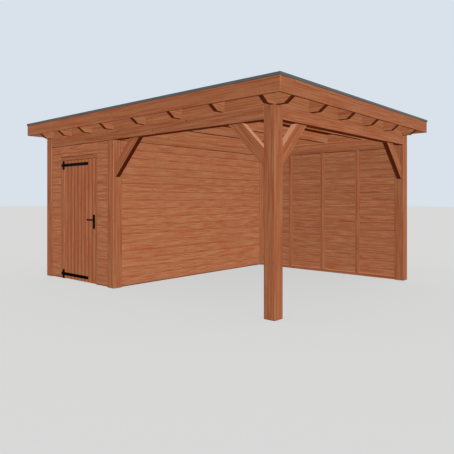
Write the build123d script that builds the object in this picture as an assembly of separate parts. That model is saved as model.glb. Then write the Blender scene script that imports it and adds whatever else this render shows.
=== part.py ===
"""Timber carport with a boarded storage room, all under one flat roof.

Millimetres, +Z up, origin on the ground at the middle of the plan. The door and the open front
face -Y, the storage room stands at -X and the open side at +X.
"""
import math
import os

from build123d import *

# Plan
frame_length = 4670.0  # over the corner posts, along X
frame_depth = 3550.0  # over the corner posts, along Y
storage_length = 1858.0  # left-hand face of the frame to the partition's face in the bay
post_side = 145.0

# Beams and knee braces
beam_bottom = 2115.0
beam_height = 145.0
beam_thickness = 110.0
brace_leg = 528.0  # underside of a brace, along the post and along the beam
brace_width = 145.0
brace_thickness = 72.0

# Rafters, edge joist and the blocks under the side overhangs
rafter_width = 60.0
rafter_height = 145.0
rafter_nose = 115.0  # level underside beyond the beam, before the slanted cut
nose_radius = 18.0
carport_rafter_bays = 4
storage_rafter_bays = 3
corbel_count = 6
corbel_width = 75.0
infill_thickness = 20.0
infill_setback = 6.0

# Roof
roof_overhang = 225.0  # frame face to fascia face
fascia_lift = 65.0  # fascia's lower edge above the beams
fascia_height = 190.0
fascia_thickness = 22.0
deck_thickness = 18.0
membrane_thickness = 3.0
trim_proud = 9.0
trim_drop = 24.0
trim_wall = 3.0
trim_cap = 6.0

# Boarded walls on a stud frame
cladding_recess = 18.0  # post face to board face
cladding_thickness = 20.0
cladding_lift = 8.0
stud_width = 45.0
stud_pitch = 660.0
stud_end_gap = 0.3
bottom_rail_height = 45.0
top_rail_height = 30.0

# Door frame
door_frame_width = 1015.0
hinge_side_share = 0.49  # of the wall beside the door frame
door_frame_top = 1940.0
door_head_height = 55.0
hinge_jamb_width = 88.0
lock_jamb_width = 38.0
door_recess = 26.0  # post face to the face of frame and leaf
door_gap = 5.0
stop_width = 20.0
stop_thickness = 22.0

# Door leaf
leaf_lift = 10.0
leaf_thickness = 20.0
ledge_height = 120.0
ledge_thickness = 22.0
ledge_inset = 30.0
ledge_margin = 110.0  # leaf's end to the ledge nearest to it

# Strap hinges
strap_length = 675.0  # pin to the tip
strap_height = 48.0
strap_tip_radius = 9.0
strap_thickness = 5.0
top_strap_drop = 67.0
bottom_strap_rise = 68.0
knuckle_radius = 8.0
knuckle_gap = 1.0
pin_radius = 4.5
pin_clearance = 0.4
hinge_plate_width = 42.0
hinge_plate_height = 138.0
hinge_stub_margin = 4.0  # end of the plate's stub to the jamb's outer edge

# Lever handle
handle_backset = 52.0  # lock edge of the leaf to the handle
handle_plate_width = 52.0
handle_plate_height = 212.0
handle_plate_thickness = 5.0
handle_height = 933.0
lever_rise = 28.0
lever_length = 130.0
lever_height = 22.0
lever_thickness = 11.0
lever_reach = 50.0
lever_neck_radius = 9.0
lever_clearance = 0.5
lever_seat_gap = 0.3

# Faces worked out from the sizes above
right = frame_length / 2
left = -right
back = frame_depth / 2
front = -back
partition_face = left + storage_length
plate_top = beam_bottom + beam_height
rafter_top = plate_top + rafter_height
overhang_inside = roof_overhang - fascia_thickness
fascia_bottom = plate_top + fascia_lift
fascia_top = fascia_bottom + fascia_height
stud_face = cladding_recess + cladding_thickness
room_front = storage_length - 2 * post_side
door_frame_start = (room_front - door_frame_width) * hinge_side_share
hinge_jamb_left = left + post_side + door_frame_start
leaf_left = hinge_jamb_left + hinge_jamb_width + door_gap
leaf_width = door_frame_width - hinge_jamb_width - lock_jamb_width - 2 * door_gap
leaf_top = door_frame_top - door_head_height - door_gap
door_face = front + door_recess
hinge_x = leaf_left - door_gap / 2
hinge_y = door_face - knuckle_radius
handle_x = leaf_left + leaf_width - handle_backset
lever_z = handle_height + lever_rise


def block(x_span, y_span, z_span):
    """A box between two places on each axis."""
    size = [max(span) - min(span) for span in (x_span, y_span, z_span)]
    corner = [min(span) for span in (x_span, y_span, z_span)]
    return Pos(*corner) * Box(*size, align=(Align.MIN, Align.MIN, Align.MIN))


def save(node, *solids):
    """Write one node, as one solid or as several that do not touch."""
    shape = solids[0] if len(solids) == 1 else Compound(children=list(solids))
    export_step(shape, f"parts/{node}.step")


def outline(points):
    """A straight-sided flat face."""
    return make_face(Polyline(*points, close=True))


def extruded(plane, face, thickness):
    """A flat face laid on a plane and extruded along the plane's normal."""
    return extrude(plane * face, amount=thickness)


def evenly(first, last, bays):
    """Places from first to last, with that many equal bays between them."""
    return [first + (last - first) * step / bays for step in range(bays + 1)]


def make_posts():
    """Corner posts reach the rafters, and the partition's posts stop under the beams."""
    columns = {"left": left, "partition": partition_face - post_side, "right": right - post_side}
    rows = {"front": front, "back": back - post_side}
    for row, y in rows.items():
        for column, x in columns.items():
            top = beam_bottom if column == "partition" else plate_top
            post = block((x, x + post_side), (y, y + post_side), (0, top))
            save(f"{row}_{column}_post", post)


def make_beams():
    """A ring of beams flush with the outer faces, and one over the partition."""
    tall = (beam_bottom, plate_top)
    between_x = (left + post_side, right - post_side)
    between_y = (front + post_side, back - post_side)
    save("front_beam", block(between_x, (front, front + beam_thickness), tall))
    save("back_beam", block(between_x, (back - beam_thickness, back), tall))
    save("left_beam", block((left, left + beam_thickness), between_y, tall))
    save("right_beam", block((right - beam_thickness, right), between_y, tall))
    inside_y = (front + beam_thickness, back - beam_thickness)
    save("partition_beam", block((partition_face - beam_thickness, partition_face), inside_y, tall))


def brace(plane):
    """A knee brace cut flat to post and beam, in the corner at the plane's origin."""
    inner_leg = brace_leg - brace_width * math.sqrt(2)
    points = [(0, -brace_leg), (brace_leg, 0), (inner_leg, 0), (0, -inner_leg)]
    return extruded(plane, outline(points), brace_thickness)


def make_braces():
    """Four knee braces, centred on the posts, at the two open sides of the bay."""
    centred = (post_side - brace_thickness) / 2
    along_x = {"front_partition_brace": (partition_face, 1), "front_corner_brace": (right - post_side, -1)}
    for node, (x, way) in along_x.items():
        y = front + centred + (brace_thickness if way > 0 else 0)
        save(node, brace(Plane((x, y, beam_bottom), x_dir=(way, 0, 0), z_dir=(0, -way, 0))))
    along_y = {"right_corner_brace": (front + post_side, 1), "right_back_brace": (back - post_side, -1)}
    for node, (y, way) in along_y.items():
        x = right - centred - (brace_thickness if way > 0 else 0)
        save(node, brace(Plane((x, y, beam_bottom), x_dir=(0, way, 0), z_dir=(way, 0, 0))))


def rafter_places():
    """Left-hand face of each rafter, from the right-hand edge to the storage room's far end."""
    over_partition = partition_face - rafter_width
    carport = evenly(right - rafter_width, over_partition, carport_rafter_bays)
    storage = evenly(over_partition, left + post_side, storage_rafter_bays)
    return carport + storage[1:]


def eaves_end(middle, outward, width):
    """A timber's end under the overhang: level underside, then a slanted cut up to the fascia."""
    face = outline([(0, plate_top), (rafter_nose, plate_top), (overhang_inside, fascia_bottom),
                    (overhang_inside, rafter_top), (0, rafter_top)])
    face = fillet(face.vertices().group_by(Axis.Y)[0].sort_by(Axis.X)[-1], nose_radius)
    plane = Plane((*middle, 0), x_dir=(*outward, 0), z_dir=(outward[1], -outward[0], 0))
    return extrude(plane * face, amount=width / 2, both=True)


def rafter(x, ends):
    """A timber from the front face to the back face, with shaped ends where it runs on past them."""
    solid = block((x, x + rafter_width), (front, back), (plate_top, rafter_top))
    for y, way in ends:
        solid += eaves_end((x + rafter_width / 2, y), (0, way), rafter_width)
    return solid


def make_rafters():
    """Rafters from front to back. The two at the outer edges run past the frame at one end only."""
    front_end, back_end = (front, -1), (back, 1)
    for number, x in enumerate(rafter_places(), start=1):
        ends = [front_end] if number == 1 else [front_end, back_end]
        save(f"rafter_{number}", rafter(x, ends))
    save("left_edge_joist", rafter(left, [back_end]))


def make_corbels():
    """Short blocks with the rafters' end shape, under the two side overhangs."""
    half = corbel_width / 2
    sides = {"right": (right, 1, front + half, back - post_side - half),
             "left": (left, -1, front + post_side + half, back - half)}
    for side, (x, way, first, last) in sides.items():
        places = evenly(first, last, corbel_count - 1)
        save(f"{side}_corbels", *[eaves_end((x, y), (way, 0), corbel_width) for y in places])


def make_infill():
    """Boards that close the gaps between the rafters, above the front and back beams."""
    starts = [left] + sorted(rafter_places())
    gaps = [(start + rafter_width, end) for start, end in zip(starts, starts[1:])]
    tall = (plate_top, rafter_top)
    for side, face, inward in (("front", front, 1), ("back", back, -1)):
        outer = face + inward * infill_setback
        span = (outer, outer + inward * infill_thickness)
        save(f"{side}_infill", *[block(gap, span, tall) for gap in gaps])


def make_fascias():
    """Boards all round the overhang, with the front and back ones over the ends of the others."""
    tall = (fascia_bottom, fascia_top)
    full_x = (left - roof_overhang, right + roof_overhang)
    inside_y = (front - overhang_inside, back + overhang_inside)
    save("front_fascia", block(full_x, (front - roof_overhang, inside_y[0]), tall))
    save("back_fascia", block(full_x, (inside_y[1], back + roof_overhang), tall))
    save("left_fascia", block((left - roof_overhang, left - overhang_inside), inside_y, tall))
    save("right_fascia", block((right + overhang_inside, right + roof_overhang), inside_y, tall))


def make_roof():
    """Deck boards on the rafters and a waterproof sheet on top."""
    span_x = (left - overhang_inside, right + overhang_inside)
    span_y = (front - overhang_inside, back + overhang_inside)
    deck_top = rafter_top + deck_thickness
    save("roof_deck", block(span_x, span_y, (rafter_top, deck_top)))
    save("roof_membrane", block(span_x, span_y, (deck_top, deck_top + membrane_thickness)))


def trim_points():
    """Section of the roof edge profile: a cap on the fascia, a face and a lip back to the fascia."""
    inner_face = trim_proud - trim_wall
    lip_top = trim_wall - trim_drop
    return [(-fascia_thickness, 0), (inner_face, 0), (inner_face, lip_top), (0, lip_top),
            (0, -trim_drop), (trim_proud, -trim_drop), (trim_proud, trim_cap), (-fascia_thickness, trim_cap)]


def make_trims():
    """Metal profiles along the four roof edges, mitred at the corners."""
    half_x = right + roof_overhang
    half_y = back + roof_overhang
    runs = {
        "front_trim": ((0, -half_y), (0, -1), half_x),
        "back_trim": ((0, half_y), (0, 1), half_x),
        "right_trim": ((half_x, 0), (1, 0), half_y),
        "left_trim": ((-half_x, 0), (-1, 0), half_y),
    }
    section = outline(trim_points())
    for node, (middle, outward, half_run) in runs.items():
        plane = Plane((*middle, fascia_top), x_dir=(*outward, 0), z_dir=(outward[1], -outward[0], 0))
        bar = extrude(plane * section, amount=half_run + trim_proud, both=True)
        for way in (1, -1):
            corner = plane.from_local_coords((0, 0, way * half_run))
            inward = plane.z_dir * -way + plane.x_dir
            bar = split(bar, bisect_by=Plane(corner, z_dir=inward), keep=Keep.TOP)
        save(node, bar)


class WallRun:
    """A straight wall between two posts: places along it, depth behind the posts' face, height."""

    def __init__(self, axis, start, end, face, inward):
        self.axis = axis
        self.start = start
        self.length = end - start
        self.face = face
        self.inward = inward

    def block(self, along, depth, tall):
        """A box in the wall's own places."""
        run = [self.start + place for place in along]
        across = [self.face + self.inward * place for place in depth]
        return block(run, across, tall) if self.axis == "x" else block(across, run, tall)

    def boards(self, along, tall):
        """The boarded skin over one stretch."""
        return self.block(along, (cladding_recess, stud_face), tall)

    def rail(self, along, tall):
        """A level member of the frame behind the boards."""
        return self.block(along, (stud_face, beam_thickness), tall)

    def frame(self):
        """Bottom and top rails with studs between them at equal bays."""
        whole = (0, self.length)
        solids = [self.rail(whole, (0, bottom_rail_height)),
                  self.rail(whole, (beam_bottom - top_rail_height, beam_bottom))]
        bays = max(1, round(self.length / stud_pitch))
        tall = (bottom_rail_height + stud_end_gap, beam_bottom - top_rail_height - stud_end_gap)
        for middle in evenly(0, self.length, bays)[1:-1]:
            solids.append(self.rail((middle - stud_width / 2, middle + stud_width / 2), tall))
        return solids


def make_walls():
    """Boards and frames of the four walls without a door."""
    inside_y = (front + post_side, back - post_side)
    storage_x = (left + post_side, partition_face - post_side)
    runs = {
        "left_wall": WallRun("y", *inside_y, left, 1),
        "partition": WallRun("y", *inside_y, partition_face, -1),
        "storage_back": WallRun("x", *storage_x, back, -1),
        "bay_back": WallRun("x", partition_face, right - post_side, back, -1),
    }
    for name, run in runs.items():
        save(f"{name}_boards", run.boards((0, run.length), (cladding_lift, beam_bottom)))
        save(f"{name}_frame", *run.frame())


def make_front_wall():
    """The storage room's front: boards beside and over the door frame, rails behind them."""
    run = WallRun("x", left + post_side, partition_face - post_side, front, 1)
    frame_start = door_frame_start
    frame_end = door_frame_start + door_frame_width
    tall = (cladding_lift, beam_bottom)
    save("front_left_boards", run.boards((0, frame_start), tall))
    save("front_right_boards", run.boards((frame_end, run.length), tall))
    save("front_top_boards", run.boards((frame_start, frame_end), (door_frame_top, beam_bottom)))
    low = (0, bottom_rail_height)
    save("front_rails", run.rail((0, frame_start), low), run.rail((frame_end, run.length), low),
         run.rail((0, run.length), (beam_bottom - top_rail_height, beam_bottom)))
    deep = (door_recess, beam_thickness)
    head_bottom = door_frame_top - door_head_height
    upright = (0, head_bottom - stud_end_gap)
    save("door_frame",
         run.block((frame_start, frame_start + hinge_jamb_width), deep, upright),
         run.block((frame_end - lock_jamb_width, frame_end), deep, upright),
         run.block((frame_start, frame_end), deep, (head_bottom, door_frame_top)))
    make_stops(run, frame_start + hinge_jamb_width, frame_end - lock_jamb_width, head_bottom)


def make_stops(run, opening_start, opening_end, head_bottom):
    """Strips inside the door frame that the leaf closes against."""
    near = door_recess + leaf_thickness + door_gap
    deep = (near, near + stop_thickness)
    upright = (0, head_bottom - stop_width - stud_end_gap)
    save("door_stops",
         run.block((opening_start, opening_start + stop_width), deep, upright),
         run.block((opening_end - stop_width, opening_end), deep, upright),
         run.block((opening_start, opening_end), deep, (head_bottom - stop_width, head_bottom)))


def make_leaf():
    """The boarded leaf and the ledges across its back."""
    behind = door_face + leaf_thickness
    across = (leaf_left, leaf_left + leaf_width)
    save("door_leaf", block(across, (door_face, behind), (leaf_lift, leaf_top)))
    inner = (leaf_left + ledge_inset, leaf_left + leaf_width - ledge_inset)
    lowest = leaf_lift + ledge_margin
    highest = leaf_top - ledge_margin - ledge_height
    ledges = []
    for bottom in (lowest, handle_height - ledge_height / 2, highest):
        ledges.append(block(inner, (behind, behind + ledge_thickness), (bottom, bottom + ledge_height)))
    save("door_ledges", *ledges)


def strap(middle):
    """A moving hinge strap: a flat bar with rounded corners at its tip and an eye round the pin."""
    side = Rectangle(strap_length, strap_height, align=(Align.MIN, Align.CENTER))
    side = fillet(side.vertices().group_by(Axis.X)[-1], strap_tip_radius)
    outward = Plane((hinge_x, door_face, middle), x_dir=(1, 0, 0), z_dir=(0, -1, 0))
    bar = extruded(outward, side, strap_thickness)
    at_pin = Pos(hinge_x, hinge_y, middle)
    eye = at_pin * Cylinder(knuckle_radius, strap_height)
    return bar + eye - at_pin * Cylinder(pin_radius + pin_clearance, 2 * strap_height)


def hinge_plate(middle):
    """A fixed hinge plate on the jamb, with its stub, two knuckles and the pin."""
    depth = (door_face - strap_thickness, door_face)
    inner = hinge_x - knuckle_radius - 2 * knuckle_gap
    outer = inner - hinge_plate_width
    half = hinge_plate_height / 2
    plate = block((outer, inner), depth, (middle - half, middle + half))
    stub_tall = (middle - strap_height / 2, middle + strap_height / 2)
    solid = plate + block((hinge_jamb_left + hinge_stub_margin, outer), depth, stub_tall)
    near = strap_height / 2 + knuckle_gap
    for low, high in ((middle + near, middle + half), (middle - half, middle - near)):
        solid += block((inner, hinge_x), depth, (low, high))
        knuckle = Cylinder(knuckle_radius, high - low, align=(Align.CENTER, Align.CENTER, Align.MIN))
        solid += Pos(hinge_x, hinge_y, low) * knuckle
    return solid + Pos(hinge_x, hinge_y, middle) * Cylinder(pin_radius, hinge_plate_height)


def make_hinges():
    """Two strap hinges near the top and the bottom of the leaf."""
    middles = (leaf_top - top_strap_drop, leaf_lift + bottom_strap_rise)
    save("hinge_straps", *[strap(middle) for middle in middles])
    save("hinge_plates", *[hinge_plate(middle) for middle in middles])


def make_handle():
    """A back plate on the leaf and the lever that turns in it."""
    outward = Plane((handle_x, door_face, handle_height), x_dir=(1, 0, 0), z_dir=(0, -1, 0))
    plate = extrude(outward * Rectangle(handle_plate_width, handle_plate_height), handle_plate_thickness)
    hole = outward * Pos(0, lever_rise) * Circle(lever_neck_radius + lever_clearance)
    save("handle_plate", plate - extrude(hole, 2 * handle_plate_thickness))
    turning = Plane((handle_x, door_face - lever_seat_gap, lever_z), x_dir=(-1, 0, 0), z_dir=(0, -1, 0))
    neck = extrude(turning * Circle(lever_neck_radius), lever_reach - lever_seat_gap)
    arm_start = lever_reach - lever_thickness - lever_seat_gap
    full = lever_length + lever_height / 2
    grip = turning * Pos(lever_length / 2 - lever_height / 4, 0, arm_start) * SlotOverall(full, lever_height)
    save("door_lever", neck + extrude(grip, lever_thickness))


def main():
    """Build every piece of the carport."""
    os.makedirs("parts", exist_ok=True)
    make_posts()
    make_beams()
    make_braces()
    make_rafters()
    make_corbels()
    make_infill()
    make_fascias()
    make_roof()
    make_trims()
    make_walls()
    make_front_wall()
    make_leaf()
    make_hinges()
    make_handle()


main()
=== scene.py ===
"""Looks of a timber carport with a boarded storage room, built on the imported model's frame.

Metres, +Z up. The open front and the door face -Y, the storage room stands at -X and the open side at +X.
Every place comes from the frame, and each sub-assembly is a class that builds its meshes and dresses them.
"""

import logging
import math
import random
from dataclasses import dataclass, field, replace
from enum import Enum
from typing import Iterable, Optional, Sequence, Union

import bmesh
import bpy
from mathutils import Color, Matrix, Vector, noise


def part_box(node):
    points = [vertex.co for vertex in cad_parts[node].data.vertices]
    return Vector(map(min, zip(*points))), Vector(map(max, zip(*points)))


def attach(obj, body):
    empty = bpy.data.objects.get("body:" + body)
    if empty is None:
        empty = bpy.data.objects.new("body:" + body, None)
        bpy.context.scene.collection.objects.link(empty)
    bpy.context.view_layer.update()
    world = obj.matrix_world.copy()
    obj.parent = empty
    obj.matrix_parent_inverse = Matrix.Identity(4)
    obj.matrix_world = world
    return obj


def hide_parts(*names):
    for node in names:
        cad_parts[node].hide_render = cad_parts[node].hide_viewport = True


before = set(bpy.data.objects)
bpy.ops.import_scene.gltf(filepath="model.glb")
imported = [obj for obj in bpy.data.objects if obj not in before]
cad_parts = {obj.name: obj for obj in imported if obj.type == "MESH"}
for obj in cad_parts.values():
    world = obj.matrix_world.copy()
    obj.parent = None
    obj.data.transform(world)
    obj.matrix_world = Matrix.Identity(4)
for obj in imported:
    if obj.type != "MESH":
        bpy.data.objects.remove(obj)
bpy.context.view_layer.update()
log = logging.getLogger("carport")

Value = Union["Signal", float, Sequence[float]]
Pair = tuple[float, float]
Triple = tuple[float, float, float]
Outline = list[Pair]
Box = tuple[Vector, Vector]

FULL_SCREEN_VALUE = 255.0
MIX_SHARE, MIX_FIRST, MIX_SECOND, MIX_RESULT = 0, 6, 7, 2
MIDDLE = 0.5
BOTH_WAYS = (-1, 1)
FULL_TURN = 2 * math.pi
QUARTER_TURN = math.pi / 2
DOME_SHOULDER = math.pi / 4
HEAD_SIDES = 10
RAFTER_COUNT = 8
WELD = 0.00002
FLAT_ANGLE = math.radians(0.5)
SHARP_ANGLE = math.radians(40)
FACET_AREA = 0.004
END_SLANT = 0.45


class Body(Enum):
    """Bodies of the frame that a piece can ride on."""

    BUILDING = "building"
    DOOR = "door"
    LEVER = "lever"


class Slot(Enum):
    """The record's material slots."""

    FRAME_TIMBER = "frame_timber"
    WALL_BOARDS = "wall_boards"
    DOOR_BOARDS = "door_boards"
    DECK_BOARDS = "deck_boards"
    FASCIA_BOARDS = "fascia_boards"
    BLACK_IRON = "black_iron"
    GREY_METAL = "grey_metal"
    ROOF_RUBBER = "roof_rubber"


class JointDustAndShade(Enum):
    """Where dust and painted shade gather along a board's joints."""

    LOWER_EDGE = "lower edge"
    BOTH_EDGES = "both edges"


class Axis(Enum):
    """The frame's three directions."""

    X = 0
    Y = 1
    Z = 2

    @property
    def unit(self) -> Vector:
        """Unit vector of this direction."""
        return Vector([float(place == self.value) for place in range(3)])


class Signal:
    """A node's output that takes part in sums: each operator adds one Math node."""

    def __init__(self, graph: "Graph", socket: bpy.types.NodeSocket) -> None:
        """Keep the graph and the socket that the value comes from."""
        self.graph = graph
        self.socket = socket

    def _math(self, operation: str, *values: Value) -> "Signal":
        """Add one Math node with these inputs in order."""
        return self.graph.node("ShaderNodeMath", {"operation": operation}, dict(enumerate(values)))

    def __add__(self, other: Value) -> "Signal":
        """Sum."""
        return self._math("ADD", self, other)

    def __radd__(self, other: Value) -> "Signal":
        """Sum with a number on the left."""
        return self._math("ADD", other, self)

    def __sub__(self, other: Value) -> "Signal":
        """Difference."""
        return self._math("SUBTRACT", self, other)

    def __rsub__(self, other: Value) -> "Signal":
        """Difference from a number on the left."""
        return self._math("SUBTRACT", other, self)

    def __mul__(self, other: Value) -> "Signal":
        """Product."""
        return self._math("MULTIPLY", self, other)

    def __rmul__(self, other: Value) -> "Signal":
        """Product with a number on the left."""
        return self._math("MULTIPLY", other, self)

    def at_least(self, other: Value) -> "Signal":
        """The larger of the two."""
        return self._math("MAXIMUM", self, other)

    def at_most(self, other: Value) -> "Signal":
        """The smaller of the two."""
        return self._math("MINIMUM", self, other)

    def fraction(self) -> "Signal":
        """What is left after the whole number."""
        return self._math("FRACT", self)

    def ramp(self, low: float, high: float) -> "Signal":
        """Smooth step from 0 at low to 1 at high, or down where low is the larger."""
        places = {"Value": self, "From Min": low, "From Max": high}
        return self.graph.node("ShaderNodeMapRange", {"interpolation_type": "SMOOTHSTEP"}, places)

    def parts(self) -> list["Signal"]:
        """The three parts of a vector or a colour."""
        cut = self.graph.add("ShaderNodeSeparateXYZ", {}, {"Vector": self})
        return [Signal(self.graph, socket) for socket in cut.outputs]


class Graph:
    """Nodes of one material or of the world."""

    def __init__(self, tree: bpy.types.NodeTree) -> None:
        """Start with an empty tree."""
        tree.nodes.clear()
        self.tree = tree

    def add(self, kind: str, settings: dict[str, object], inputs: dict[str | int, Value]) -> bpy.types.Node:
        """Add a node.

        Args:
            kind: The node's type.
            settings: Its own settings, set before its sockets.
            inputs: Values or links of its sockets, by name or number.

        Returns:
            The node.
        """
        made = self.tree.nodes.new(kind)
        for name, value in settings.items():
            setattr(made, name, value)
        for name, value in inputs.items():
            socket = made.inputs[name]
            if isinstance(value, Signal):
                self.tree.links.new(value.socket, socket)
            else:
                socket.default_value = value
        return made

    def node(self, kind: str, settings: dict[str, object], inputs: dict[str | int, Value],
             output: str | int = 0) -> Signal:
        """Add a node and give one of its outputs.

        Args:
            kind: The node's type.
            settings: Its own settings.
            inputs: Values or links of its sockets.
            output: The output that is wanted, by name or number.

        Returns:
            That output.
        """
        return Signal(self, self.add(kind, settings, inputs).outputs[output])

    def attribute(self, name: str, output: str = "Fac") -> Signal:
        """A value that the mesh keeps under this name."""
        return self.node("ShaderNodeAttribute", {"attribute_name": name}, {}, output)

    def vector(self, operation: str, *values: Value, output: str = "Vector") -> Signal:
        """Add one Vector Math node with these inputs in order."""
        return self.node("ShaderNodeVectorMath", {"operation": operation}, dict(enumerate(values)), output)

    def length(self, vector: Value) -> Signal:
        """Length of a vector."""
        return self.vector("LENGTH", vector, output="Value")

    def joined(self, *parts: Value) -> Signal:
        """A vector of three parts."""
        return self.node("ShaderNodeCombineXYZ", {}, dict(enumerate(parts)))

    def dimmed(self, colour: Value, share: Value) -> Signal:
        """A colour times a number."""
        return self.node("ShaderNodeVectorMath", {"operation": "SCALE"}, {"Vector": colour, "Scale": share})

    def mix(self, share: Value, first: Value, second: Value) -> Signal:
        """A colour between two, by a share of the second."""
        inputs = {MIX_SHARE: share, MIX_FIRST: first, MIX_SECOND: second}
        return self.node("ShaderNodeMix", {"data_type": "RGBA"}, inputs, MIX_RESULT)

    def noise(self, place: Value, scale: Sequence[float], detail: float = 2.0) -> Signal:
        """Cloudy values from 0 to 1.

        Args:
            place: Where the values are read.
            scale: Clouds per metre in the three directions.
            detail: Finer layers on top of the first.

        Returns:
            The values.
        """
        stretched = self.vector("MULTIPLY", place, scale)
        return self.node("ShaderNodeTexNoise", {}, {"Vector": stretched, "Scale": 1.0, "Detail": detail})

    def bump(self, height: Value, depth: float, strength: float) -> Signal:
        """A normal that follows a height over this depth in metres."""
        inputs = {"Height": height, "Distance": depth, "Strength": strength}
        return self.node("ShaderNodeBump", {}, inputs, "Normal")

    def principled(self, inputs: dict[str, Value]) -> Signal:
        """The shader of a plain surface."""
        return self.node("ShaderNodeBsdfPrincipled", {}, inputs, "BSDF")


@dataclass(frozen=True)
class Colour:
    """A colour as it shows on a screen, each part from 0 to 255."""

    red: float
    green: float
    blue: float

    def linear(self) -> tuple[float, float, float, float]:
        """The same colour in the renderer's own values."""
        screen = Color([part / FULL_SCREEN_VALUE for part in (self.red, self.green, self.blue)])
        return (*screen.from_srgb_to_scene_linear(), 1.0)


@dataclass(frozen=True)
class Finish:
    """A surface finish: one material, made when it is first asked for."""

    name: str

    def material(self) -> bpy.types.Material:
        """Make the finish's material, or find it again.

        Returns:
            The material.
        """
        made = bpy.data.materials.get(self.name)
        if made is None:
            made = bpy.data.materials.new(self.name)
            made.use_nodes = True
            graph = Graph(made.node_tree)
            graph.add("ShaderNodeOutputMaterial", {}, {"Surface": self.surface(graph)})
        return made

    def surface(self, graph: Graph) -> Signal:
        """The finish's shader."""
        raise NotImplementedError


@dataclass(frozen=True)
class StainedWood(Finish):
    """Softwood under a red-brown stain: streaks, flecks, growth rings, knots, worn edges and end grain.

    It reads each point's place in its own board, so that the grain follows every board. Dust and painted
    shade may gather along a board's joints, and a painted sheen may lighten the faces that look up.
    """

    tan: Colour = Colour(182, 121, 84)
    red: Colour = Colour(166, 85, 53)
    dark: Colour = Colour(112, 55, 35)
    knot: Colour = Colour(88, 40, 25)
    worn: Colour = Colour(200, 145, 106)
    end_grain: Colour = Colour(128, 70, 45)
    streak_scale: Triple = (1.7, 84.0, 84.0)
    streak_detail: float = 3.0
    fleck_scale: Triple = (12.0, 44.0, 44.0)
    drift_scale: Triple = (1.1, 7.0, 7.0)
    fibre_scale: Triple = (11.0, 420.0, 420.0)
    seed_spread: Triple = (31.0, 17.0, 23.0)
    knot_cell: Triple = (0.52, 0.13, 0.13)
    knot_squeeze: Triple = (0.6, 1.0, 1.0)
    knot_core: Pair = (0.013, 0.005)
    knot_halo: Pair = (0.055, 0.010)
    knot_share: float = 0.75
    knot_pull: float = 0.010
    pith_spread: float = 0.16
    ring_pitch: float = 0.0075
    ring_rise: Pair = (0.25, 0.90)
    ring_fall: Pair = (1.0, 0.93)
    ring_share: float = 0.20
    wobble: float = 0.035
    streak_edge: Pair = (0.39, 0.61)
    fleck_edge: Pair = (0.56, 0.70)
    fleck_share: float = 0.18
    fibre_edge: Pair = (0.50, 0.78)
    fibre_share: float = 0.22
    tone_spread: float = 0.09
    # Dust and painted shade along the joints: which edges, how wide and how strong.
    band: JointDustAndShade = JointDustAndShade.LOWER_EDGE
    dust_and_shade_width: float = 0.034
    dust_and_shade_share: float = 0.0
    wear_width: Pair = (0.006, 0.0008)
    wear_edge: Pair = (0.46, 0.66)
    wear_share: float = 0.30
    end_share: float = 0.55
    # Painted sheen on faces that look up: its pale colour, the slopes that it spans and its strength.
    painted_sheen: Colour = Colour(178, 126, 94)
    painted_sheen_slope: Pair = (0.30, 0.65)
    painted_sheen_share: float = 0.0
    roughness: float = 0.66
    ring_gloss: float = 0.10
    fibre_gloss: float = 0.14
    shine: float = 0.14
    relief_depth: float = 0.0007
    relief_strength: float = 0.45

    def knots(self, graph: Graph, grain: Signal) -> Signal:
        """Measure how far the nearest knot is.

        Args:
            graph: The material's nodes.
            grain: Place in the board, moved by the board's luck.

        Returns:
            The distance in metres.
        """
        cells = graph.vector("DIVIDE", grain, self.knot_cell)
        nearest = graph.node("ShaderNodeTexVoronoi", {}, {"Vector": cells, "Scale": 1.0}, "Position")
        apart = graph.vector("MULTIPLY", graph.vector("SUBTRACT", cells, nearest), self.knot_cell)
        return graph.length(graph.vector("MULTIPLY", apart, self.knot_squeeze))

    def rings(self, graph: Graph, place: Signal, grain: Signal, luck: Signal, pull: Signal) -> Signal:
        """Growth rings round the pith, from 0 in spring wood to 1 in autumn wood.

        Args:
            graph: The material's nodes.
            place: Place in the board.
            grain: The same, moved by the board's luck.
            luck: Three chance values of the board.
            pull: How far knots push the rings aside.

        Returns:
            The rings.
        """
        _, across, depth = place.parts()
        aside, deep, _ = luck.parts()
        sideways = across + (aside - MIDDLE) * self.pith_spread
        inwards = depth + (deep - MIDDLE) * self.pith_spread
        reach = graph.length(graph.joined(0.0, sideways, inwards))
        wobble = graph.noise(grain, self.drift_scale) * self.wobble
        phase = ((reach + wobble + pull) * (1 / self.ring_pitch)).fraction()
        return phase.ramp(*self.ring_rise) * phase.ramp(*self.ring_fall)

    def edge_gap(self, graph: Graph, place: Signal) -> tuple[Signal, Signal]:
        """Distances to a board's edges.

        Args:
            graph: The material's nodes.
            place: Place in the board.

        Returns:
            Distance to the nearest edge, and to the edge along which dust and painted shade gather.
        """
        half = graph.attribute("half", "Vector")
        along, across, depth = graph.vector("SUBTRACT", half, graph.vector("ABSOLUTE", place)).parts()
        nearest = along.at_most(across).at_least(along.at_least(across).at_most(depth))
        if self.band is JointDustAndShade.BOTH_EDGES:
            return nearest, across
        _, above, _ = graph.vector("ADD", half, place).parts()
        return nearest, above

    def surface(self, graph: Graph) -> Signal:
        """Stained wood.

        Args:
            graph: The material's nodes.

        Returns:
            The shader.
        """
        place = graph.attribute("local", "Vector")
        luck = graph.node("ShaderNodeTexWhiteNoise", {"noise_dimensions": "1D"},
                          {"W": graph.attribute("seed")}, "Color")
        grain = graph.vector("MULTIPLY_ADD", luck, self.seed_spread, place)
        streak = graph.noise(grain, self.streak_scale, self.streak_detail)
        drift = graph.noise(grain, self.drift_scale)
        fibre = graph.noise(grain, self.fibre_scale)
        knot_gap = self.knots(graph, grain)
        knot = knot_gap.ramp(*self.knot_core)
        ring = self.rings(graph, place, grain, luck, knot_gap.ramp(*self.knot_halo) * self.knot_pull)
        edge, above = self.edge_gap(graph, place)
        _, _, tone = luck.parts()

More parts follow.
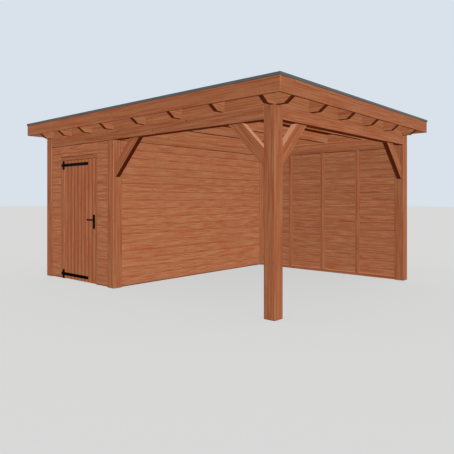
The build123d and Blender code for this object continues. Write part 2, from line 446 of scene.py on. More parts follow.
        colour = graph.mix(streak.ramp(*self.streak_edge), self.tan.linear(), self.red.linear())
        fleck = graph.noise(grain, self.fleck_scale).ramp(*self.fleck_edge) * self.fleck_share
        fine = ring * self.ring_share + fibre.ramp(*self.fibre_edge) * self.fibre_share + fleck
        colour = graph.mix(fine, colour, self.dark.linear())
        # Dust and painted shade darken each board near its joint edges.
        if self.dust_and_shade_share:
            band = above.ramp(self.dust_and_shade_width, 0.0) * (drift + MIDDLE) * self.dust_and_shade_share
            colour = graph.mix(band, colour, self.dark.linear())
        colour = graph.mix(knot * self.knot_share, colour, self.knot.linear())
        colour = graph.dimmed(colour, (tone - MIDDLE) * self.tone_spread + 1.0)
        worn = edge.ramp(*self.wear_width) * drift.ramp(*self.wear_edge) * self.wear_share
        colour = graph.mix(worn, colour, self.worn.linear())
        # Painted sheen: faces that look up are lightened towards a pale colour, as light from above would
        # light them.
        if self.painted_sheen_share:
            _, _, upward = graph.node("ShaderNodeNewGeometry", {}, {}, "Normal").parts()
            painted_sheen_mask = upward.ramp(*self.painted_sheen_slope) * self.painted_sheen_share
            colour = graph.mix(painted_sheen_mask, colour, self.painted_sheen.linear())
        end = graph.attribute("end")
        colour = graph.mix(end * self.end_share, colour, self.end_grain.linear())

        rough = self.roughness + ring * self.ring_gloss + (fibre - MIDDLE) * self.fibre_gloss
        relief = fibre * MIDDLE - ring * MIDDLE - knot
        return graph.principled({
            "Base Color": colour, "Roughness": rough, "Specular IOR Level": self.shine,
            "Normal": graph.bump(relief, self.relief_depth, self.relief_strength)})


@dataclass(frozen=True)
class CoatedMetal(Finish):
    """Painted or bare metal with slight mottling, fine grain and rubbed patches."""

    body: Colour = Colour(3, 2, 2)
    rubbed: Colour = Colour(12, 9, 8)
    mottle_scale: Triple = (24.0, 24.0, 24.0)
    mottle_detail: float = 4.0
    peel_scale: Triple = (700.0, 700.0, 700.0)
    peel_detail: float = 1.0
    rub_edge: Pair = (0.54, 0.72)
    rub_share: float = 0.5
    roughness: float = 0.42
    gloss_spread: float = 0.22
    metallic: float = 0.0
    shine: float = 0.03
    peel_depth: float = 0.0003
    peel_strength: float = 0.30

    def surface(self, graph: Graph) -> Signal:
        """Coated metal.

        Args:
            graph: The material's nodes.

        Returns:
            The shader.
        """
        place = graph.node("ShaderNodeTexCoord", {}, {}, "Object")
        mottle = graph.noise(place, self.mottle_scale, self.mottle_detail)
        peel = graph.noise(place, self.peel_scale, self.peel_detail)
        rub = mottle.ramp(*self.rub_edge) * self.rub_share
        return graph.principled({
            "Base Color": graph.mix(rub, self.body.linear(), self.rubbed.linear()),
            "Roughness": self.roughness + (mottle - MIDDLE) * self.gloss_spread,
            "Metallic": self.metallic, "Specular IOR Level": self.shine,
            "Normal": graph.bump(peel, self.peel_depth, self.peel_strength)})


@dataclass(frozen=True)
class RubberSheet(Finish):
    """Matt roofing rubber with dust and the rims of dried puddles."""

    body: Colour = Colour(50, 52, 54)
    dust: Colour = Colour(104, 103, 99)
    puddle_scale: Triple = (0.55, 0.75, 0.75)
    puddle_detail: float = 3.0
    speck_scale: Triple = (60.0, 60.0, 60.0)
    speck_detail: float = 4.0
    puddle_rim: Pair = (0.44, 0.58)
    rim_end: Pair = (0.78, 0.60)
    rim_share: float = 0.12
    speck_edge: Pair = (0.52, 0.80)
    speck_share: float = 0.25
    roughness: float = 0.78
    speck_gloss: float = 0.15
    grain_depth: float = 0.0005
    grain_strength: float = 0.35

    def surface(self, graph: Graph) -> Signal:
        """Roofing rubber.

        Args:
            graph: The material's nodes.

        Returns:
            The shader.
        """
        place = graph.node("ShaderNodeTexCoord", {}, {}, "Object")
        puddle = graph.noise(place, self.puddle_scale, self.puddle_detail)
        speck = graph.noise(place, self.speck_scale, self.speck_detail)
        rim = puddle.ramp(*self.puddle_rim) * puddle.ramp(*self.rim_end) * self.rim_share
        dust = rim + speck.ramp(*self.speck_edge) * self.speck_share
        return graph.principled({
            "Base Color": graph.mix(dust, self.body.linear(), self.dust.linear()),
            "Roughness": self.roughness + (speck - MIDDLE) * self.speck_gloss,
            "Normal": graph.bump(speck, self.grain_depth, self.grain_strength)})


@dataclass(frozen=True)
class MattFloor(Finish):
    """An even, matt floor."""

    colour: Colour = Colour(171, 171, 171)

    def surface(self, graph: Graph) -> Signal:
        """Matt colour alone."""
        return graph.node("ShaderNodeBsdfDiffuse", {}, {"Color": self.colour.linear()})


FRAME_WOOD = StainedWood("stained_frame_timber", tan=Colour(175, 117, 79), red=Colour(161, 82, 50))
# Wall and door boards darken along their joints with dust and painted shade.
WALL_WOOD = StainedWood("stained_wall_boards", tan=Colour(190, 130, 90), red=Colour(174, 93, 59),
                        streak_scale=(3.2, 100.0, 100.0), dust_and_shade_share=0.35)
DOOR_WOOD = StainedWood("stained_door_boards", tan=Colour(188, 124, 84), red=Colour(173, 89, 53),
                        band=JointDustAndShade.BOTH_EDGES, dust_and_shade_width=0.030, dust_and_shade_share=0.75)
DECK_WOOD = StainedWood("stained_deck_boards", tan=Colour(177, 117, 79), red=Colour(163, 83, 50),
                        tone_spread=0.18)
FASCIA_WOOD = StainedWood("stained_fascia_boards", tan=Colour(174, 115, 77), red=Colour(160, 81, 48),
                          end_grain=Colour(176, 116, 78))
SIDE_FASCIA_WOOD = StainedWood("stained_side_fascias", tan=Colour(171, 114, 77), red=Colour(157, 81, 48))
# The braces carry a painted sheen on their upper faces.
BRACE_WOOD = replace(FRAME_WOOD, name="stained_braces", painted_sheen_share=0.85)
SHELTERED_WOOD = StainedWood("stained_sheltered_timber", tan=Colour(191, 128, 87), red=Colour(176, 92, 55))
RAFTER_WOOD = StainedWood("stained_rafters", tan=Colour(182, 125, 86), red=Colour(168, 90, 54))
BLACK_IRON = CoatedMetal("black_iron_coat")
GREY_TRIM = CoatedMetal("grey_edge_metal", body=Colour(92, 99, 101), rubbed=Colour(116, 121, 122),
                        mottle_scale=(5.0, 5.0, 40.0), roughness=0.5)
SCREW_STEEL = CoatedMetal("screw_steel", body=Colour(112, 84, 68), rubbed=Colour(136, 116, 102),
                          roughness=0.62, metallic=0.35)
LOCK_STEEL = CoatedMetal("lock_steel", body=Colour(58, 54, 50), rubbed=Colour(84, 79, 73),
                         roughness=0.4, metallic=0.6)
ROOF_RUBBER = RubberSheet("roof_rubber_sheet")
PALE_FLOOR = MattFloor("pale_floor")


@dataclass(frozen=True)
class Lie:
    """How a board lies: its middle, its three directions and half its size in each."""

    middle: Vector
    along: Vector
    across: Vector
    depth: Vector
    half: Vector

    def point(self, place: Sequence[float]) -> Vector:
        """Place in the frame of a place in the board."""
        return self.middle + self.along * place[0] + self.across * place[1] + self.depth * place[2]

    def place(self, point: Vector) -> Vector:
        """Place in the board of a place in the frame."""
        step = point - self.middle
        return Vector([step.dot(way) for way in (self.along, self.across, self.depth)])

    @classmethod
    def of_points(cls, points: Sequence[Vector], along: Optional[Vector] = None) -> "Lie":
        """Find how a solid lies.

        Args:
            points: The solid's corners.
            along: Its grain, or None for its longest side.

        Returns:
            How it lies.
        """
        sides = [max(p[k] for p in points) - min(p[k] for p in points) for k in range(3)]
        longest = Axis(sides.index(max(sides)))
        along = (along or longest.unit).normalized()
        square = [axis for axis in Axis if abs(axis.unit.dot(along)) < END_SLANT]
        depth = min(square, key=lambda axis: sides[axis.value]).unit
        across = depth.cross(along)
        spans = [[p.dot(way) for p in points] for way in (along, across, depth)]
        middle = Vector()
        for way, span in zip((along, across, depth), spans):
            middle += way * (max(span) + min(span)) * MIDDLE
        half = Vector([(max(span) - min(span)) * MIDDLE for span in spans])
        return cls(middle, along, across, depth, half)


class Draft:
    """A joined mesh in the making. Each point keeps its place in its own board for the finish to read."""

    def __init__(self, name: str) -> None:
        """Start empty, with chance values that depend on the name alone.

        Args:
            name: The piece's name.
        """
        self.name = name
        self.mesh = bmesh.new()
        self.local = self.mesh.verts.layers.float_vector.new("local")
        self.half = self.mesh.verts.layers.float_vector.new("half")
        self.seed = self.mesh.verts.layers.float.new("seed")
        self.end = self.mesh.faces.layers.float.new("end")
        self.chance = random.Random(name)

    def mark(self, points: Iterable[bmesh.types.BMVert], lie: Lie) -> None:
        """Write each point's place in its board.

        Args:
            points: The board's points.
            lie: How the board lies.
        """
        seed = self.chance.random()
        for point in points:
            point[self.local] = lie.place(point.co)
            point[self.half] = lie.half
            point[self.seed] = seed

    def band(self, low: Sequence[bmesh.types.BMVert],
             high: Sequence[bmesh.types.BMVert]) -> list[bmesh.types.BMFace]:
        """Add the faces between two rings of points.

        Args:
            low: One ring.
            high: The other ring, of as many points.

        Returns:
            The faces.
        """
        faces = []
        for k in range(len(low)):
            after = (k + 1) % len(low)
            faces.append(self.mesh.faces.new((low[k], low[after], high[after], high[k])))
        return faces

    def board(self, lie: Lie, outline: Outline) -> None:
        """Add a board of one section from end to end.

        Args:
            lie: How the board lies.
            outline: Its section, across and in depth.
        """
        rows = []
        for end in (-lie.half[0], lie.half[0]):
            rows.append([self.mesh.verts.new(lie.point((end, *spot))) for spot in outline])
        faces = [self.mesh.faces.new(rows[0][::-1]), self.mesh.faces.new(rows[1])]
        for cap in faces:
            cap[self.end] = 1.0
        faces += self.band(*rows)
        bmesh.ops.recalc_face_normals(self.mesh, faces=faces)
        self.mark(rows[0] + rows[1], lie)

    def copy(self, node: str) -> None:
        """Copy the mesh of a node of the frame, with its corners joined.

        Args:
            node: The node's name.
        """
        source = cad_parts[node].data
        corners = [self.mesh.verts.new(corner.co) for corner in source.vertices]
        for face in source.polygons:
            self.mesh.faces.new([corners[k] for k in face.vertices])
        bmesh.ops.remove_doubles(self.mesh, verts=self.mesh.verts, dist=WELD)

    def node(self, node: str, ease: float, along: Optional[Vector] = None, rounds: int = 2) -> "Draft":
        """Add a node of the frame with its sharp edges eased.

        Args:
            node: The node's name.
            ease: Width of the eased edges.
            along: Direction of the grain, or None for each solid's longest side.
            rounds: Faces across an eased edge.

        Returns:
            This draft.
        """
        self.copy(node)
        bmesh.ops.dissolve_limit(self.mesh, angle_limit=FLAT_ANGLE, verts=self.mesh.verts,
                                 edges=self.mesh.edges)
        lies = [Lie.of_points([point.co for point in solid], along) for solid in self.solids()]
        sharp = [edge for edge in self.mesh.edges if edge.calc_face_angle(0.0) > SHARP_ANGLE]
        made = bmesh.ops.bevel(self.mesh, geom=sharp, offset=ease, segments=rounds, profile=MIDDLE,
                               affect="EDGES", clamp_overlap=True)
        for face in made["faces"]:
            face.smooth = True
        for solid in self.solids():
            middle = sum((point.co for point in solid), Vector()) / len(solid)
            lie = min(lies, key=lambda lie: (lie.middle - middle).length)
            self.mark(solid, lie)
            self.shade(solid, lie)
        return self

    def shade(self, solid: Sequence[bmesh.types.BMVert], lie: Lie) -> None:
        """Mark a solid's end grain, and smooth the facets of its round faces.

        Args:
            solid: The solid's points.
            lie: How it lies.
        """
        for face in {face for point in solid for face in point.link_faces}:
            face[self.end] = float(abs(face.normal.dot(lie.along)) > END_SLANT)
            bends = [edge.calc_face_angle(0.0) for edge in face.edges]
            if face.calc_area() < FACET_AREA and any(FLAT_ANGLE < bend < SHARP_ANGLE for bend in bends):
                face.smooth = True

    def solids(self) -> list[list[bmesh.types.BMVert]]:
        """Sort the points by the solid that they belong to.

        Returns:
            The points of each solid that touches no other.
        """
        left = dict.fromkeys(self.mesh.verts)
        found = []
        while left:
            first = next(iter(left))
            del left[first]
            solid = [first]
            for point in solid:
                for edge in point.link_edges:
                    other = edge.other_vert(point)
                    if other in left:
                        del left[other]
                        solid.append(other)
            found.append(solid)
        return found

    def head(self, spot: Vector, outward: Vector, radius: float, rise: float) -> None:
        """Add a domed nail, screw or bolt head.

        Args:
            spot: Its middle, on the surface.
            outward: Direction away from the surface.
            radius: Its radius.
            rise: Height of the dome.
        """
        turn = outward.to_track_quat("Z", "Y")
        shares = ((1.0, -MIDDLE), (1.0, 0.0), (math.cos(DOME_SHOULDER), math.sin(DOME_SHOULDER)))
        rings = []
        for wide, high in shares:
            ring = []
            for k in range(HEAD_SIDES):
                angle = FULL_TURN * k / HEAD_SIDES
                flat = Vector((math.cos(angle), math.sin(angle), 0.0)) * radius * wide
                ring.append(self.mesh.verts.new(spot + turn @ flat + outward * rise * high))
            rings.append(ring)
        foot, rim, shoulder = rings
        top = self.mesh.verts.new(spot + outward * rise)
        self.mesh.faces.new(foot[::-1])
        dome = self.band(foot, rim) + self.band(rim, shoulder)
        for k in range(HEAD_SIDES):
            dome.append(self.mesh.faces.new((shoulder[k], shoulder[(k + 1) % HEAD_SIDES], top)))
        for face in dome:
            face.smooth = True

    def piece(self, finish: Finish, body: Body, slot: Slot, *nodes: str) -> bpy.types.Object:
        """Turn the draft into a dressed piece.

        Args:
            finish: Its finish.
            body: The body that it rides on.
            slot: The record's slot for this piece's finish; not used.
            nodes: The nodes that it stands for.

        Returns:
            The piece.
        """
        mesh = bpy.data.meshes.new(self.name)
        self.mesh.to_mesh(mesh)
        self.mesh.free()
        made = placed(self.name, mesh)
        mesh.materials.append(finish.material())
        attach(made, body.value)
        if nodes:
            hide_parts(*nodes)
        log.info("%s on %s, %d faces", self.name, body.value, len(mesh.polygons))
        return made


def placed(name: str, data: bpy.types.ID) -> bpy.types.Object:
    """Put a new object into the scene.

    Args:
        name: Its name.
        data: Its mesh, lamp or camera.

    Returns:
        The object.
    """
    made = bpy.data.objects.new(name, data)
    bpy.context.scene.collection.objects.link(made)
    return made


def timber(node: str, ease: float, along: Optional[Vector] = None, wood: StainedWood = FRAME_WOOD) -> None:
    """Build and dress one timber of the building, with its grain along its longest side unless told."""
    Draft(f"{node}_timber").node(node, ease, along).piece(wood, Body.BUILDING, Slot.FRAME_TIMBER, node)


def ironwork(node: str, ease: float, body: Body, rounds: int = 2) -> None:
    """Build and dress one piece of black ironwork on the body that it rides on."""
    Draft(f"{node}_iron").node(node, ease, rounds=rounds).piece(BLACK_IRON, body, Slot.BLACK_IRON, node)


def solid_boxes(node: str) -> list[Box]:
    """Find the boxes of the solids of one node of the frame.

    Args:
        node: The node's name.

    Returns:
        The boxes.
    """
    draft = Draft(node)
    draft.copy(node)
    boxes = []
    for solid in draft.solids():
        points = [point.co for point in solid]
        boxes.append((Vector(map(min, *points)), Vector(map(max, *points))))
    draft.mesh.free()
    return boxes


def middle_of(box: Box) -> Vector:
    """Middle of a box."""
    return (box[0] + box[1]) * MIDDLE


def face_of(box: Box, outward: Vector) -> Vector:
    """Middle of the face of a box that looks outward."""
    return middle_of(box) + outward * abs((box[1] - box[0]).dot(outward)) * MIDDLE


def part_way(low: float, high: float, share: float) -> float:
    """A place between two ends, by its share of the way."""
    return low + (high - low) * share


@dataclass
class Boarding:
    """Tongue-and-groove boards, with a small vee along each joint, that fill a box in equal courses."""

    cover: float
    vee: float = 0.0022
    drip: float = 0.008
    tongue: float = 0.007
    tongue_thickness: float = 0.006
    play: float = 0.0006
    unevenness: float = 0.0004
    least: float = 0.004

    def edges(self, span: Pair) -> list[float]:
        """Course edges over a span, at about the cover width."""
        count = max(1, round((span[1] - span[0]) / self.cover))
        return [span[0] + (span[1] - span[0]) * k / count for k in range(count + 1)]

    def outline(self, low: float, high: float, half: float, groove: bool, tongue: bool) -> Outline:
        """Section of one board.

        Args:
            low: Its lower edge.
            high: Its upper edge.
            half: Half its thickness.
            groove: Whether its lower edge has a groove.
            tongue: Whether its upper edge has a tongue.

        Returns:
            Points across and in depth.
        """
        vee, thin = self.vee, self.tongue_thickness * MIDDLE
        foot = vee if groove else self.drip
        tip, wide, deep = high + self.tongue, thin + self.play, low + self.tongue + 2 * self.play
        high -= self.play
        points = [(low + foot, half), (high - vee, half), (high, half - vee)]
        if tongue:
            points += [(high, thin), (tip, thin), (tip, -thin), (high, -thin)]
        points += [(high, vee - half), (high - vee, -half), (low + foot, -half), (low, foot - half)]
        if groove:
            points += [(low, -wide), (deep, -wide), (deep, wide), (low, wide)]
        return points + [(low, half - foot)]

    def fill(self, draft: Draft, box: Box, run: Axis, rise: Axis, span: Pair) -> list[float]:
        """Fill a box with boards.

        Args:
            draft: The mesh that takes the boards.
            box: The box.
            run: Direction of the boards.
            rise: Direction from board to board.
            span: Where the courses begin and end, which may be past the box.

        Returns:
            The middles of the boards, in the direction from board to board.
        """
        deep = next(axis for axis in Axis if axis not in (run, rise))
        size = (box[1] - box[0]) * MIDDLE
        half = size[deep.value]
        edges = self.edges(span)
        middles = []
        for low, high in zip(edges, edges[1:]):
            cut_low, cut_high = max(low, box[0][rise.value]), min(high, box[1][rise.value])
            if cut_high - cut_low < self.least:
                continue
            middle = middle_of(box)
            middle[rise.value] = (low + high) * MIDDLE
            middle[deep.value] += draft.chance.uniform(-self.unevenness, self.unevenness)
            lie = Lie(middle, run.unit, rise.unit, deep.unit,
                      Vector((size[run.value], (high - low) * MIDDLE, half)))
            groove = cut_low == low and low > span[0]
            tongue = cut_high == high and high < span[1]
            outline = self.outline(cut_low - middle[rise.value], cut_high - middle[rise.value], half,
                                   groove, tongue)
            draft.board(lie, outline)
            middles.append((cut_low + cut_high) * MIDDLE)
        return middles


@dataclass
class TimberFrame:
    """Posts, beams, braces, rafters, corbels and infill boards."""

    post_ease: float = 0.005
    beam_ease: float = 0.006
    partition_beam_ease: float = 0.010
    rafter_ease: float = 0.0015
    board_ease: float = 0.002
    posts: tuple[str, ...] = ("front_left_post", "front_partition_post", "front_right_post",
                              "back_left_post", "back_partition_post", "back_right_post")
    beams: tuple[str, ...] = ("front_beam", "left_beam", "right_beam")
    rafters: tuple[str, ...] = (*(f"rafter_{k + 1}" for k in range(RAFTER_COUNT)), "left_edge_joist")
    brace_grain: dict[str, Triple] = field(default_factory=lambda: {
        "front_partition_brace": (1.0, 0.0, 1.0), "front_corner_brace": (-1.0, 0.0, 1.0),
        "right_corner_brace": (0.0, 1.0, 1.0), "right_back_brace": (0.0, -1.0, 1.0)})

    def build(self) -> None:
        """Build and dress every timber of the frame."""
        for node in self.posts:
            timber(node, self.post_ease)
        for node in self.beams:
            timber(node, self.beam_ease)
        timber("back_beam", self.beam_ease, wood=SHELTERED_WOOD)
        timber("partition_beam", self.partition_beam_ease, wood=RAFTER_WOOD)
        for node in self.rafters:
            timber(node, self.rafter_ease, wood=RAFTER_WOOD)
        for node, grain in self.brace_grain.items():
            timber(node, self.rafter_ease, Vector(grain), BRACE_WOOD)
        for node in ("right_corbels", "left_corbels"):
            timber(node, self.rafter_ease, Axis.X.unit, SHELTERED_WOOD)
        for node in ("front_infill", "back_infill"):
            timber(node, self.board_ease, Axis.X.unit, SHELTERED_WOOD)


@dataclass
class Eaves:
    """Fascia boards with their screws, and the metal profiles along the roof's edges."""

    fascia_ease: float = 0.001
    trim_ease: float = 0.0008
    trim_rounds: int = 1
    screw_radius: float = 0.0055
    screw_rise: float = 0.0014
    screw_spread: float = 0.055
    sides: dict[str, Triple] = field(default_factory=lambda: {
        "front": (0.0, -1.0, 0.0), "back": (0.0, 1.0, 0.0),
        "left": (-1.0, 0.0, 0.0), "right": (1.0, 0.0, 0.0)})
    woods: dict[str, StainedWood] = field(default_factory=lambda: {
        "front": FASCIA_WOOD, "back": FASCIA_WOOD, "left": SIDE_FASCIA_WOOD, "right": SIDE_FASCIA_WOOD})

    def screw_places(self, side: str) -> list[Vector]:
        """Find the timbers that one fascia is screwed to.

        Args:
            side: The fascia's side.

        Returns:
            Their middles.
        """
        if side in ("left", "right"):
            return [middle_of(box) for box in solid_boxes(f"{side}_corbels")]
        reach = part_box(f"{side}_fascia")
        places = []
        for node in TimberFrame.rafters:
            low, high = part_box(node)
            if low.y < reach[1].y + WELD and high.y > reach[0].y - WELD:
                places.append(middle_of((low, high)))
        return places

    def build(self) -> None:
        """Build and dress the fascias, the screws and the profiles."""
        for side, outward in self.sides.items():
            node = f"{side}_fascia"
            Draft(f"{node}_board").node(node, self.fascia_ease).piece(
                self.woods[side], Body.BUILDING, Slot.FASCIA_BOARDS, node)
            self.screws(side, Vector(outward))
            trim = f"{side}_trim"
            Draft(f"{trim}_metal").node(trim, self.trim_ease, rounds=self.trim_rounds).piece(
                GREY_TRIM, Body.BUILDING, Slot.GREY_METAL, trim)

    def screws(self, side: str, outward: Vector) -> None:
        """Drive two screws into each timber behind one fascia.

        Args:
            side: The fascia's side.
            outward: Direction that it looks to.
        """
        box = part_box(f"{side}_fascia")
        middle, surface = middle_of(box), face_of(box, outward)
        along = Vector((abs(outward.y), abs(outward.x), 0.0))
        draft = Draft(f"{side}_fascia_screws")
        for place in self.screw_places(side):
            for way in BOTH_WAYS:
                spot = surface + along * (place - middle).dot(along)
                spot.z = middle.z + way * self.screw_spread
                draft.head(spot, outward, self.screw_radius, self.screw_rise)
        draft.piece(SCREW_STEEL, Body.BUILDING, Slot.GREY_METAL)


@dataclass
class Roof:
    """Deck boards on the rafters, and a rubber sheet turned up along the edges."""

    boarding: Boarding = field(default_factory=lambda: Boarding(cover=0.121))
    sheet: float = 0.0012
    sheet_side: float = -1.0  # its thickness lies under its top face
    lift: float = 0.0004
    turn_up: tuple[Pair, ...] = ((0.0015, 0.086), (0.003, 0.030), (0.012, 0.007), (0.034, 0.0))
    cell: float = 0.11
    ripple: float = 0.0022
    ripple_scale: float = 1.7

    def build(self) -> None:
        """Build and dress the deck and the sheet."""
        draft = Draft("roof_deck_boards")
        low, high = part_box("roof_deck")
        self.boarding.fill(draft, (low, high), Axis.X, Axis.Y, (low.y, high.y))
        draft.piece(DECK_WOOD, Body.BUILDING, Slot.DECK_BOARDS, "roof_deck")
        self.build_sheet()

    def row(self, low: float, high: float) -> list[Pair]:
        """Places across the sheet, with the rise of the turned-up edges at both ends.

        Args:
            low: One end.
            high: The other end.

        Returns:
            Places and rises.
        """
        inset = self.turn_up[-1][0]
        inner = high - low - 2 * inset
        count = round(inner / self.cell)
        flat = [(low + inset + inner * k / count, 0.0) for k in range(1, count)]
        return ([(low + gap, rise) for gap, rise in self.turn_up] + flat
                + [(high - gap, rise) for gap, rise in reversed(self.turn_up)])

    def build_sheet(self) -> None:
        """Build and dress the rubber sheet."""
        low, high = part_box("roof_membrane")
        base = low.z + self.sheet + self.lift
        draft = Draft("roof_membrane_sheet")
        rows = []
        for y, rise_y in self.row(low.y, high.y):
            row = []
            for x, rise_x in self.row(low.x, high.x):
                rise = max(rise_x, rise_y)
                wave = abs(noise.noise(Vector((x, y, 0.0)) * self.ripple_scale) * self.ripple)
                row.append(draft.mesh.verts.new((x, y, base + rise + (wave if rise == 0.0 else 0.0))))
            rows.append(row)
        for near, far in zip(rows, rows[1:]):
            for k in range(len(near) - 1):
                draft.mesh.faces.new((near[k], near[k + 1], far[k + 1], far[k])).smooth = True
        made = draft.piece(ROOF_RUBBER, Body.BUILDING, Slot.ROOF_RUBBER, "roof_membrane")
        thick = made.modifiers.new("thickness", "SOLIDIFY")
        thick.thickness = self.sheet
        thick.offset = self.sheet_side


@dataclass
class Walls:
    """Boarded walls on stud frames, nailed at every stud."""

    boarding: Boarding = field(default_factory=lambda: Boarding(cover=0.124))
    stud_ease: float = 0.002
    nail_radius: float = 0.0032
    nail_rise: float = 0.0009
    nail_share: float = 0.27
    end_margin: float = 0.035
    framed: tuple[str, ...] = ("left_wall", "partition", "storage_back", "bay_back")
    front: tuple[str, ...] = ("front_left", "front_right", "front_top")

    def run_of(self, node: str) -> Axis:
        """Level direction of a wall skin."""
        low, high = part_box(node)
        return Axis.X if high.x - low.x > high.y - low.y else Axis.Y

    def skin(self, wall: str, span: Pair) -> list[float]:
        """Build and dress the boards of one wall.

        Args:
            wall: The wall's name.
            span: Heights between which its courses are laid out.

        Returns:
            The middles of its courses.
        """
        node = f"{wall}_boards"
        draft = Draft(f"{wall}_courses")
        middles = self.boarding.fill(draft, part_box(node), self.run_of(node), Axis.Z, span)
        draft.piece(WALL_WOOD, Body.BUILDING, Slot.WALL_BOARDS, node)
        return middles

    def nails(self, wall: str, places: Sequence[float], courses: Sequence[float], outward: Vector) -> None:
        """Drive two nails through each board at each place along a wall.

        Args:
            wall: The wall's name.
            places: Places along the wall.
            courses: Middles of the boards.
            outward: Direction that the nailed face looks to.
        """
        node = f"{wall}_boards"
        spot, run = face_of(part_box(node), outward), self.run_of(node)
        draft = Draft(f"{wall}_nails")
        for place in places:
            for course in courses:
                for way in BOTH_WAYS:
                    spot[run.value] = place
                    spot.z = course + way * self.boarding.cover * self.nail_share
                    draft.head(spot.copy(), outward, self.nail_radius, self.nail_rise)
        draft.piece(SCREW_STEEL, Body.BUILDING, Slot.GREY_METAL)

    def build(self) -> None:
        """Build and dress the walls."""
        low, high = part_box("left_wall_boards")
        span = (low.z, high.z)
        for wall in self.framed:
            courses = self.skin(wall, span)
            boards, studs = f"{wall}_boards", f"{wall}_frame"
            timber(studs, self.stud_ease)
            run = self.run_of(boards)
            deep = Axis.Y if run is Axis.X else Axis.X
            aside = middle_of(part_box(boards)) - middle_of(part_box(studs))
            outward = deep.unit * math.copysign(1, aside[deep.value])
            tall = (span[1] - span[0]) * MIDDLE
            places = [middle_of(box)[run.value] for box in solid_boxes(studs) if box[1].z - box[0].z > tall]
            self.nails(wall, places, courses, outward)
        for wall in self.front:
            courses = self.skin(wall, span)
            low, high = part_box(f"{wall}_boards")
            places = (low.x + self.end_margin, high.x - self.end_margin)
            self.nails(wall, places, courses, -Axis.Y.unit)
        timber("front_rails", self.stud_ease)


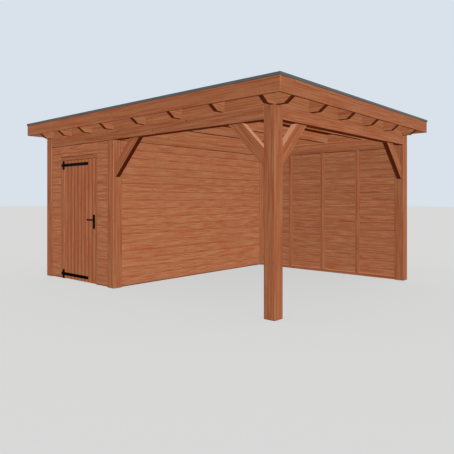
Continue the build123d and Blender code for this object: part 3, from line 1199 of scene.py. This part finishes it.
@dataclass
class DoorSet:
    """Door frame, boarded leaf, strap hinges with bolts, back plate and lever."""

    boarding: Boarding = field(default_factory=lambda: Boarding(cover=0.098, vee=0.0045))
    frame_ease: float = 0.003
    ledge_ease: float = 0.004
    iron_ease: float = 0.0009
    lever_ease: float = 0.003
    lever_rounds: int = 3
    nail_radius: float = 0.0028
    nail_rise: float = 0.0008
    nail_share: float = 0.27
    bolt_radius: float = 0.0085
    bolt_rise: float = 0.0042
    bolt_shares: tuple[float, ...] = (0.14, 0.36, 0.62, 0.92)
    plate_screw_radius: float = 0.0045
    plate_screw_rise: float = 0.0016
    plate_screw_shares: tuple[float, ...] = (0.10, 0.26, 0.74, 0.90)
    handle_screw_shares: tuple[float, ...] = (0.06, 0.94)
    lock_rise: float = 0.0012
    lock_radius: float = 0.0085
    lock_width: float = 0.010
    lock_length: float = 0.033
    lock_height_share: float = 0.30
    lock_sides: int = 20

    def build(self) -> None:
        """Build and dress the door and what it hangs in."""
        for node in ("door_frame", "door_stops"):
            timber(node, self.frame_ease)
        self.build_leaf()
        self.build_hinges()
        self.build_handle()

    def build_leaf(self) -> None:
        """Build and dress the leaf's boards, its ledges and their nails."""
        draft = Draft("door_leaf_boards")
        low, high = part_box("door_leaf")
        middles = self.boarding.fill(draft, (low, high), Axis.Z, Axis.X, (low.x, high.x))
        draft.piece(DOOR_WOOD, Body.DOOR, Slot.DOOR_BOARDS, "door_leaf")
        Draft("door_ledges_boards").node("door_ledges", self.ledge_ease).piece(
            DOOR_WOOD, Body.DOOR, Slot.DOOR_BOARDS, "door_ledges")
        nails = Draft("door_leaf_nails")
        for box in solid_boxes("door_ledges"):
            height = box[1].z - box[0].z
            for x in middles:
                for way in BOTH_WAYS:
                    spot = Vector((x, low.y, middle_of(box).z + way * height * self.nail_share))
                    nails.head(spot, -Axis.Y.unit, self.nail_radius, self.nail_rise)
        nails.piece(SCREW_STEEL, Body.DOOR, Slot.GREY_METAL)

    def build_hinges(self) -> None:
        """Build and dress the straps and plates with their bolts and screws."""
        ironwork("hinge_straps", self.iron_ease, Body.DOOR)
        ironwork("hinge_plates", self.iron_ease, Body.BUILDING)
        iron_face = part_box("handle_plate")[0].y  # straps and hinge plates are as thick as the back plate
        straps = solid_boxes("hinge_straps")
        bolts = Draft("hinge_bolts")
        for low, high in straps:
            for share in self.bolt_shares:
                spot = Vector((part_way(low.x, high.x, share), iron_face, (low.z + high.z) * MIDDLE))
                bolts.head(spot, -Axis.Y.unit, self.bolt_radius, self.bolt_rise)
        bolts.piece(BLACK_IRON, Body.DOOR, Slot.BLACK_IRON)
        screws = Draft("hinge_plate_screws")
        plate_x = (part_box("hinge_plates")[0].x + min(low.x for low, _ in straps)) * MIDDLE
        for low, high in solid_boxes("hinge_plates"):
            for share in self.plate_screw_shares:
                spot = Vector((plate_x, iron_face, part_way(low.z, high.z, share)))
                screws.head(spot, -Axis.Y.unit, self.plate_screw_radius, self.plate_screw_rise)
        screws.piece(BLACK_IRON, Body.BUILDING, Slot.BLACK_IRON)

    def build_handle(self) -> None:
        """Build and dress the back plate with its screws and lock, and the lever."""
        ironwork("handle_plate", self.iron_ease, Body.DOOR)
        ironwork("door_lever", self.lever_ease, Body.LEVER, self.lever_rounds)
        low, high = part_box("handle_plate")
        middle_x = (low.x + high.x) * MIDDLE
        screws = Draft("handle_screws")
        for share in self.handle_screw_shares:
            spot = Vector((middle_x, low.y, part_way(low.z, high.z, share)))
            screws.head(spot, -Axis.Y.unit, self.plate_screw_radius, self.plate_screw_rise)
        screws.piece(BLACK_IRON, Body.DOOR, Slot.BLACK_IRON)
        lock = Draft("lock_cylinder")
        middle = Vector((middle_x, low.y, part_way(low.z, high.z, self.lock_height_share)))
        lie = Lie(middle, -Axis.Y.unit, Axis.X.unit, Axis.Z.unit, Vector((self.lock_rise, 0.0, 0.0)))
        lock.board(lie, self.lock_outline())
        lock.piece(LOCK_STEEL, Body.DOOR, Slot.GREY_METAL)

    def lock_outline(self) -> Outline:
        """Draw the section of a lock cylinder: a round plug over a narrow foot.

        Returns:
            Points across and upwards.
        """
        start = math.asin(self.lock_width * MIDDLE / self.lock_radius)
        top = (self.lock_length - 2 * self.lock_radius) * MIDDLE
        points = []
        for k in range(self.lock_sides + 1):
            angle = -QUARTER_TURN + start + (FULL_TURN - 2 * start) * k / self.lock_sides
            points.append((self.lock_radius * math.cos(angle), top + self.lock_radius * math.sin(angle)))
        foot = top + self.lock_radius - self.lock_length
        return points + [(-self.lock_width * MIDDLE, foot), (self.lock_width * MIDDLE, foot)]


@dataclass
class Lamp:
    """An even, far lamp that shines under the roof too, because it casts no shadow."""

    name: str
    source: Triple
    level: float
    colour: Colour = Colour(255, 255, 255)
    gloss: bool = False
    width: float = math.radians(6)
    bounces: int = 0

    def build(self) -> None:
        """Hang the lamp."""
        light = bpy.data.lights.new(self.name, "SUN")
        light.energy = self.level * math.pi
        light.color = self.colour.linear()[:3]
        light.angle = self.width
        light.use_shadow = False
        light.cycles.max_bounces = self.bounces
        made = placed(self.name, light)
        made.visible_glossy = self.gloss
        made.rotation_euler = Vector(self.source).to_track_quat("Z", "Y").to_euler()


@dataclass
class Studio:
    """Pale floor and sky, soft light, and a camera at the photograph's place."""

    eye: Triple = (5.352, -5.942, 1.273)
    turn: float = math.radians(41.517)
    lens: float = 39.03
    sensor: float = 36.0
    shift: Pair = (0.0013, -0.0616)
    floor_side: float = 160.0
    sky_colour: Colour = Colour(217, 226, 235)
    air_colour: Colour = Colour(255, 254, 252)
    air_level: float = 0.25
    lamps: tuple[Lamp, ...] = (Lamp("key_lamp", (0.58, -0.44, 0.68), 1.45, gloss=True),
                               Lamp("back_lamp", (-0.62, 0.55, 0.55), 0.85),
                               Lamp("low_lamp", (0.0, 0.0, -1.0), 0.145, Colour(255, 138, 15)))

    def build(self) -> None:
        """Set up the floor, the light and the camera."""
        bpy.context.scene.view_settings.view_transform = "Standard"
        self.build_floor()
        self.build_sky()
        for lamp in self.lamps:
            lamp.build()
        self.build_camera()

    def seen(self, graph: Graph) -> Signal:
        """Tell what the camera looks at, straight or by way of a gloss or a glass, from what only shines.

        Args:
            graph: The world's nodes.

        Returns:
            1 where the camera looks, and 0 elsewhere.
        """
        path = graph.add("ShaderNodeLightPath", {}, {})
        names = ("Is Camera Ray", "Is Glossy Ray", "Is Transmission Ray")
        straight, gloss, glass = [Signal(graph, path.outputs[name]) for name in names]
        return (straight + gloss + glass).at_most(1.0)

    def build_floor(self) -> None:
        """A plain pale floor that keeps the carport's soft shadow."""
        mesh = bpy.data.meshes.new("floor")
        half = self.floor_side * MIDDLE
        corners = [(-half, -half, 0.0), (half, -half, 0.0), (half, half, 0.0), (-half, half, 0.0)]
        mesh.from_pydata(corners, [], [tuple(range(len(corners)))])
        floor = placed("floor", mesh)
        mesh.materials.append(PALE_FLOOR.material())

    def build_sky(self) -> None:
        """An even sky that looks pale blue and shines near white."""
        world = bpy.data.worlds.new("sky")
        world.use_nodes = True
        graph = Graph(world.node_tree)
        shown, air = [
            graph.node("ShaderNodeBackground", {}, {"Color": colour.linear(), "Strength": level})
            for colour, level in ((self.sky_colour, 1.0), (self.air_colour, self.air_level))]
        both = graph.node("ShaderNodeMixShader", {}, {0: self.seen(graph), 1: air, 2: shown})
        graph.add("ShaderNodeOutputWorld", {}, {"Surface": both})
        bpy.context.scene.world = world

    def build_camera(self) -> None:
        """The camera, where the photograph's edges place it."""
        lens = bpy.data.cameras.new("camera")
        lens.sensor_width = self.sensor
        lens.lens = self.lens
        lens.shift_x, lens.shift_y = self.shift
        lens.clip_end = self.floor_side
        camera = placed("camera", lens)
        camera.location = self.eye
        camera.rotation_euler = (QUARTER_TURN, 0.0, self.turn)
        bpy.context.scene.camera = camera


def main() -> None:
    """Build the carport's sub-assemblies in order, then the studio."""
    logging.basicConfig(level=logging.INFO, format="%(name)s: %(message)s")
    for assembly in (TimberFrame(), Eaves(), Roof(), Walls(), DoorSet(), Studio()):
        log.info("building %s", type(assembly).__name__)
        assembly.build()


if __name__ == "__main__":
    main()
